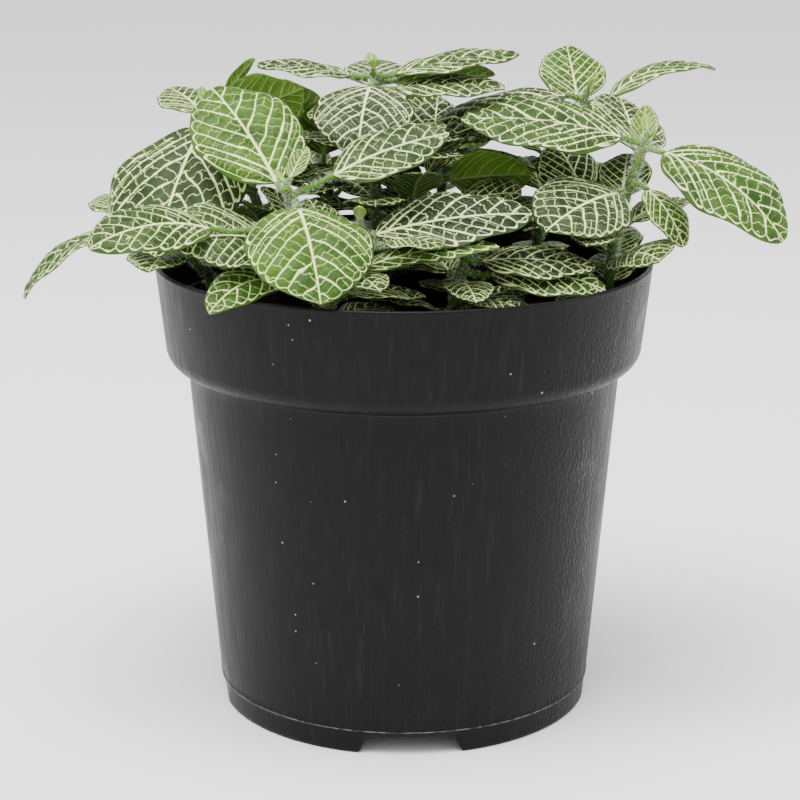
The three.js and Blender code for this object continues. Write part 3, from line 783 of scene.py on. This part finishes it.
def most_room(foot, turn, length, width, crowd):
    """The lay of a low leaf with the most room, of several headings and pitches about its own.

    Room is the distance to the nearest leaf or stem, but no more than three times its height over the soil or the
    rim, nor than twice its distance inside the plant's reach.
    """
    best = None
    for swing in LOWER_SWINGS:
        for pitch in LOWER_PITCHES:
            made = leaf_lines(foot, turn + swing, pitch, LOWER_STALK, length, width, LOWER_DROOP, 0)
            tip, points = made[0][-1], made[4]
            outward = np.hypot(*tip[:2])
            below = np.where(outward > 56 * MM, POT_HEIGHT + 1.5, SOIL_HEIGHT + 2) * MM
            past_foot = points[10:]
            space = min(room(past_foot, crowd), (points[:, 2].min() - below) * 3, (LOWER_REACH - outward) * 2)
            if best is None or space > best[0] + LEAST_GAIN:
                best = (space, made)
    return best


def grow_lower_leaves(shoots, crowd):
    """Small leaves low on the shoots, each where it has the most room and left out where it has too little."""
    grown = {}
    pairs = [(*row, half_turn) for row in LOWER_PAIRS for half_turn in (0, 180)]
    for count, (shoot, up, turn, length, width, tone, half_turn) in enumerate(pairs, start=1):
        foot = through(*shoots[shoot], np.array([up]))[0]
        space, (centre, side, top, stalk, points) = most_room(foot, turn + half_turn, length, width, crowd)
        if space < LEAST_ROOM:
            continue
        crowd = np.vstack([crowd, points])
        growth = (tone, 101.0 + 1.3 * count, 0.0, 0.1)
        grown.setdefault(shoot, []).extend([blade_skin(centre, side, top, width * MM / 2, growth, fine=False),
                                            *petiole_skin(stalk, 700 + count)])
    for shoot, surfaces in grown.items():
        add_piece("lower_leaves_" + shoot, surfaces, LEAF_FINISHES)


shoots = grow_stems()
blades = grow_leaves()
grow_young_leaves(shoots)
grow_lower_leaves(shoots, np.vstack([centres for _, centres in shoots.values()] + [blades]))


# ---------------------------------------------------------------- soil
def soil_peat():
    """Damp dark peat: brown-black with lighter fibres."""
    f = Finish("peat", Roughness=0.95, Specular_IOR_Level=0.2)
    spot = f.place()
    clod = f.noise(spot, 260.0, 4.0, 0.65)
    fleck = f.cells(spot, "F1", 1.0, 900.0)["Distance"]
    colour = f.mix(clod, rgb("0f0b08"), rgb("30241a"))
    f.set("Base Color", f.mix(f.step(fleck, 0.0, 0.22, 0.5, 0.0), colour, rgb("5a4634")))
    f.set("Normal", f.bump(clod, 0.9, 1.0 * MM))
    return f.material


def soil_top():
    """The root ball: a lathe of its radius at each height, whose crown is broken up with lumps."""
    low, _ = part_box("soil")
    around = 200
    edge = np.array([[0.0, low.z + 0.2 * MM], [0.93 * 44 * MM, low.z + 0.2 * MM]])
    wall = np.array([[44.3, 9], [50.9, 84.6], [53.5, 86], [56, 90.5], [57.1, SOIL_HEIGHT]]) * MM
    shares = np.linspace(1, 0.02, 70)
    crown = np.stack([shares * SOIL_RADIUS * MM, SOIL_HEIGHT * MM + SOIL_CROWN * MM * (1 - shares ** 2)], -1)
    profile = np.vstack([edge, wall, crown])
    turn = np.arange(around) * 2 * np.pi / around
    rings = np.stack([profile[:, None, 0] * np.cos(turn), profile[:, None, 0] * np.sin(turn),
                      np.broadcast_to(profile[:, None, 1], (len(profile), around))], -1)
    rough = waves(rings, 9 * MM, 5) * 0.7 + waves(rings, 3.6 * MM, 6) * 0.5 + waves(rings, 1.6 * MM, 7) * 0.35
    inward = 58 * MM - np.hypot(rings[..., 0], rings[..., 1])
    free = ease(rings[..., 2], 98.5 * MM, 99.5 * MM) * ease(inward, 0, 3 * MM)
    rings[..., 2] += (rough * 0.9 - 0.4) * MM * free
    return closed_skin(rings)


def crumbs(count, seed):
    """Loose crumbs of peat on the crown: dented eight-sided lumps of random size, turn and place."""
    rng = np.random.default_rng(seed)
    lump = np.array([[1, 0, 0], [0, 1, 0], [-1, 0, 0], [0, -1, 0], [0, 0, 1], [0, 0, -1]], float)
    faces = np.array([[0, 1, 4], [1, 2, 4], [2, 3, 4], [3, 0, 4], [1, 0, 5], [2, 1, 5], [3, 2, 5], [0, 3, 5]])
    reach = 55 * MM * np.sqrt(rng.uniform(0, 1, count))
    turn = rng.uniform(0, 2 * np.pi, count)
    size = rng.gamma(2.2, 0.42, count).clip(0.35, 2.4)[:, None, None] * MM
    shape = lump[None] * rng.uniform(0.55, 1.0, (count, 6, 1)) * size
    a, b = rng.uniform(0, 2 * np.pi, (2, count, 1))
    x = shape[..., 0] * np.cos(a) - shape[..., 1] * np.sin(a)
    y = shape[..., 0] * np.sin(a) + shape[..., 1] * np.cos(a)
    y, z = y * np.cos(b) - shape[..., 2] * np.sin(b), y * np.sin(b) + shape[..., 2] * np.cos(b)
    height = SOIL_HEIGHT * MM + SOIL_CROWN * MM * (1 - (reach / (SOIL_RADIUS * MM)) ** 2) + 0.2 * MM
    points = np.stack([x + (reach * np.cos(turn))[:, None], y + (reach * np.sin(turn))[:, None],
                       z + height[:, None]], -1).reshape(-1, 3)
    faces = (faces[None] + 6 * np.arange(count)[:, None, None]).reshape(-1, 3)
    return {"points": points, "faces": [faces], "finish": [np.zeros(len(faces), int)], "marks": {}}


add_piece("peat_root_ball", [soil_top(), crumbs(1500, 11)], [soil_peat()], ["soil"])


# ---------------------------------------------------------------- pot
def pot_plastic():
    """Black moulded plastic: soft gloss, fine upright drag lines, dust specks, water marks, a pebbled side and a
    painted highlight line under the collar.
    """
    f = Finish("pot_black_plastic", Specular_IOR_Level=0.11)
    spot = f.place()
    upright = f.noise(f.place((1, 1, 0.035)), 700.0, 4.0, 0.65)
    hairline = f.noise(f.place((1, 1, 0.02)), 1800.0, 2.0)
    broad = f.noise(f.place((1, 1, 0.12)), 90.0, 3.0)
    cloud = f.noise(spot, 34.0, 3.0)
    blot = f.step(f.noise(spot, 88.0, 2.0), 0.6, 0.7)
    x, _, z = (f.node("ShaderNodeSeparateXYZ", {}, Vector=spot).outputs[i] for i in range(3))
    colour = f.mix(cloud, rgb("080808"), rgb("101010"))
    colour = f.mix(f.step(upright, 0.5, 0.75, 0.0, 0.3), colour, rgb("2a2a2a"))
    drop = f.cells(f.place((1, 1, 0.55)), "F1", 1.0, 1400.0)
    wet = f.step(f.noise(f.place((1, 1, 0.5)), 62.0, 2.0), 0.42, 0.6)
    body = f.step(z, 52 * MM, 78 * MM, 1.0, 0.35)
    pit = f.times(f.step(drop["Distance"], 0.16, 0.4, 1.0, 0.0), f.times(wet, body))
    colour = f.mix(f.times(pit, 0.6), colour, rgb("020202"))
    colour = f.mix(f.times(blot, 0.45), colour, rgb("040404"))
    speck = f.cells(spot, "F1", 1.0, 250.0)
    chance, shade, _ = (f.node("ShaderNodeSeparateColor", {}, Color=speck["Color"]).outputs[i] for i in range(3))
    reach = f.calc("MULTIPLY_ADD", shade, 0.035, 0.025)
    dust = f.step(speck["Distance"], f.times(reach, 0.6), f.times(reach, 1.4), 1.0, 0.0)
    dust = f.times(dust, f.step(chance, 0.62, 0.66))
    dust = f.times(dust, f.calc("MULTIPLY_ADD", shade, 0.5, 0.2))
    colour = f.mix(dust, colour, rgb("c9c6bd"))
    seam = f.calc("ABSOLUTE", f.minus(z, SEAM_HEIGHT * MM))
    seam = f.step(seam, 0.04 * MM, 0.2 * MM, 1.0, 0.0)
    bead = f.step(f.noise(f.place((1, 1, 4)), 620.0, 1.0), 0.4, 0.62, 0.15, 1.0)
    colour = f.mix(f.times(f.times(seam, bead), 0.4), colour, rgb("9a9a99"))
    # Painted highlight: a thin lighter grey line where the quarter-round step under the collar meets the body stands
    # in for light caught by that edge.
    painted_edge_highlight = f.calc("ABSOLUTE", f.minus(z, (COLLAR_FOOT - SHOULDER) * MM))
    painted_edge_highlight = f.step(painted_edge_highlight, 0.1 * MM, 0.4 * MM, 1.0, 0.0)
    colour = f.mix(f.times(painted_edge_highlight, f.step(upright, 0.35, 0.65, 0.1, 0.45)), colour, rgb("4a4a49"))
    f.set("Base Color", colour)
    gloss = f.step(upright, 0.3, 0.7, 0.34, 0.48)
    gloss = f.calc("MULTIPLY_ADD", f.minus(cloud, 0.5), 0.14, gloss)
    f.set("Roughness", f.calc("MULTIPLY_ADD", blot, -0.1, gloss))
    side = f.times(f.step(x, 6 * MM, 44 * MM), f.step(z, 60 * MM, 88 * MM, 1.0, 0.6))
    side = f.times(side, f.step(wet, 0.0, 1.0, 0.55, 1.0))
    pebble = f.cells(f.place((1, 1, 0.6)), "SMOOTH_F1", 1.0, 1150.0)["Distance"]
    pebble = f.times(f.step(pebble, 0.1, 0.55, 1.0, 0.0), side)
    streak = f.calc("ADD", upright, f.times(broad, 0.6))
    streak = f.calc("MULTIPLY_ADD", hairline, f.step(x, -46 * MM, -10 * MM, 0.9, 0.2), streak)
    drag = f.bump(streak, 0.28, 0.14 * MM)
    grit = f.bump(f.minus(f.noise(spot, 1100.0, 2.0), pit), 0.2, 0.1 * MM, drag)
    f.set("Normal", f.bump(pebble, 0.6, 0.2 * MM, grit))
    return f.material


def pot_profile():
    """(radius, height) in mm around the pot's wall, from the middle of the floor's underside, out, up and back in."""
    def body(z):
        return FOOT_RADIUS + (BODY_RADIUS - FOOT_RADIUS) * z / (COLLAR_FOOT - SHOULDER)

    def arc(cx, cz, r, start, end, steps):
        t = np.radians(np.linspace(start, end, steps))
        return [(cx + r * np.cos(a), cz + r * np.sin(a)) for a in t]

    outer = [(body(z), z) for z in (0.9, 1.8, 2.8, 3.8, 4.6, 5.3)]
    outer += [(body(5.6) + 0.02, 5.6), (body(5.8) + 0.14, 5.8), (body(6.0) + 0.14, 6.0), (body(6.2), 6.25)]
    outer += [(body(z), z) for z in np.linspace(7.5, COLLAR_FOOT - SHOULDER - 0.6, 26)]
    step = arc(BODY_RADIUS, COLLAR_FOOT, SHOULDER, -88, 0, 14)
    taper = (RIM_RADIUS - COLLAR_RADIUS) / (POT_HEIGHT - COLLAR_FOOT)
    collar = [(COLLAR_RADIUS + taper * dz, COLLAR_FOOT + dz) for dz in np.linspace(1.0, 19.2, 14)]
    rim = arc(RIM_RADIUS - WALL / 2, POT_HEIGHT - WALL / 2, WALL / 2, 10, 170, 9)
    down = [(COLLAR_RADIUS - WALL + taper * dz, COLLAR_FOOT + dz) for dz in np.linspace(18.6, 0.2, 10)]
    inner = arc(BODY_RADIUS - WALL, COLLAR_FOOT, SHOULDER, 0, -90, 8)
    inside = [(body(z) - WALL, z) for z in np.linspace(COLLAR_FOOT - SHOULDER - 1, FLOOR_HEIGHT + WALL + 0.3, 12)]
    floor = [(r, FLOOR_HEIGHT + WALL) for r in (44, 36, 34, 22, 20, 8)]
    underside = [(r, FLOOR_HEIGHT) for r in (8, 20, 22, 34, 36, FOOT_RADIUS - FOOT_WIDTH - 0.6)]
    skirt = [(FOOT_RADIUS - FOOT_WIDTH, z) for z in (FLOOR_HEIGHT - 0.3, 3.5, 1.6, 0.4)]
    foot = [(FOOT_RADIUS - FOOT_WIDTH + 0.3, 0.0), (FOOT_RADIUS - 0.5, 0.0), (FOOT_RADIUS - 0.1, 0.25)]
    return np.array(underside + skirt + foot + outer + step + collar + rim + down + inner + inside + floor)


def pot_shell():
    """The pot as a lathe of its profile, with four drain notches: there the foot ring is lifted to an arch."""
    profile = pot_profile()
    turn = np.arange(480) * 2 * np.pi / 480
    radius, height = profile[:, None, 0], np.repeat(profile[:, None, 1], len(turn), axis=1)
    away = np.degrees(turn) - NOTCH_TURN
    away = np.abs((away + 45) % 90 - 45)
    reach = np.radians(away) * FOOT_RADIUS
    arch = NOTCH_HEIGHT * (1 - ease(reach, NOTCH_HALF - 2.6, NOTCH_HALF)) ** 0.6
    skirt = (radius > FOOT_RADIUS - FOOT_WIDTH - 0.05) & (height < 5.4)
    height = np.where(skirt, arch + height * (1 - arch / 5.4), height)
    rings = np.stack([radius * np.cos(turn), radius * np.sin(turn), height], -1) * MM
    return closed_skin(rings)


def drill_floor(pot):
    """Round drain holes through the pot's floor, cut by upright cylinders."""
    sides = 28
    turn = np.radians(np.arange(DRAIN_HOLES) * 360 / DRAIN_HOLES)
    around = np.arange(sides) * 2 * np.pi / sides
    surfaces = []
    for angle in turn:
        x = DRAIN_RING * np.cos(angle) + DRAIN_RADIUS * np.cos(around)
        y = DRAIN_RING * np.sin(angle) + DRAIN_RADIUS * np.sin(around)
        z = np.array([FLOOR_HEIGHT - 2, FLOOR_HEIGHT + WALL + 2])[:, None]
        rings = np.stack([np.tile(x, (2, 1)), np.tile(y, (2, 1)), np.repeat(z, sides, 1)], -1) * MM
        surfaces.append(closed_skin(rings))
    drill = add_piece("drain_drill", surfaces, [])
    cut = pot.modifiers.new("drain_holes", "BOOLEAN")
    cut.operation, cut.solver, cut.object = "DIFFERENCE", "EXACT", drill
    bpy.context.view_layer.update()
    drilled = bpy.data.meshes.new_from_object(pot.evaluated_get(bpy.context.evaluated_depsgraph_get()))
    pot.modifiers.remove(cut)
    pot.data = drilled
    pot.data.polygons.foreach_set("use_smooth", np.ones(len(drilled.polygons), bool))
    bpy.data.objects.remove(drill)


pot = add_piece("nursery_pot", [pot_shell()], [pot_plastic()], ["pot"])
drill_floor(pot)


# ---------------------------------------------------------------- floor, light and camera
def studio_floor():
    """A wide pale floor under the pot."""
    f = Finish("studio_floor", Roughness=0.9, Specular_IOR_Level=0.1)
    f.set("Base Color", f.mix(f.noise(f.place(), 3.0), rgb("f6f6f6"), rgb("fbfbfb")))
    mesh = bpy.data.meshes.new("studio_floor")
    r = 30.0
    mesh.from_pydata([(-r, -r, 0), (r, -r, 0), (r, r, 0), (-r, r, 0)], [], [(0, 1, 2, 3)])
    mesh.materials.append(f.material)
    floor = bpy.data.objects.new("studio_floor", mesh)
    bpy.context.scene.collection.objects.link(floor)


def soft_light(name, place, aim, size, power, height=None):
    """A soft rectangular lamp at a place, turned to a point."""
    lamp = bpy.data.lights.new(name, "AREA")
    lamp.shape, lamp.size, lamp.size_y, lamp.energy = "RECTANGLE", size, height or size, power
    made = bpy.data.objects.new(name, lamp)
    made.location = place
    ahead = np.array(aim, float) - np.array(place, float)
    made.rotation_euler = Vector(ahead).to_track_quat("-Z", "Y").to_euler()
    bpy.context.scene.collection.objects.link(made)


studio_floor()
soft_light("top_softbox", (-0.15, -0.3, 1.3), (0, 0, 0.12), 0.8, 28)
soft_light("left_softbox", (-1.1, -0.3, 0.6), (0, 0, 0.1), 0.5, 6.2, 1.0)
soft_light("right_softbox", (1.1, -0.2, 0.6), (0, 0, 0.1), 0.5, 5.2, 1.0)
world = bpy.data.worlds.new("white_room")
world.use_nodes = True
sky = world.node_tree.nodes["Background"]
sky.inputs["Color"].default_value = (1, 1, 1, 1)
sky.inputs["Strength"].default_value = 1.25
bpy.context.scene.world = world

lens = bpy.data.cameras.new("eye")
lens.sensor_width = 36
lens.lens = 98.87
lens.shift_x = -0.0049
lens.clip_end = 100
eye = bpy.data.objects.new("eye", lens)
eye.location = (0, -0.522, 0.215)
eye.rotation_euler = (np.radians(74.90), 0, 0)
bpy.context.scene.collection.objects.link(eye)
bpy.context.scene.camera = eye
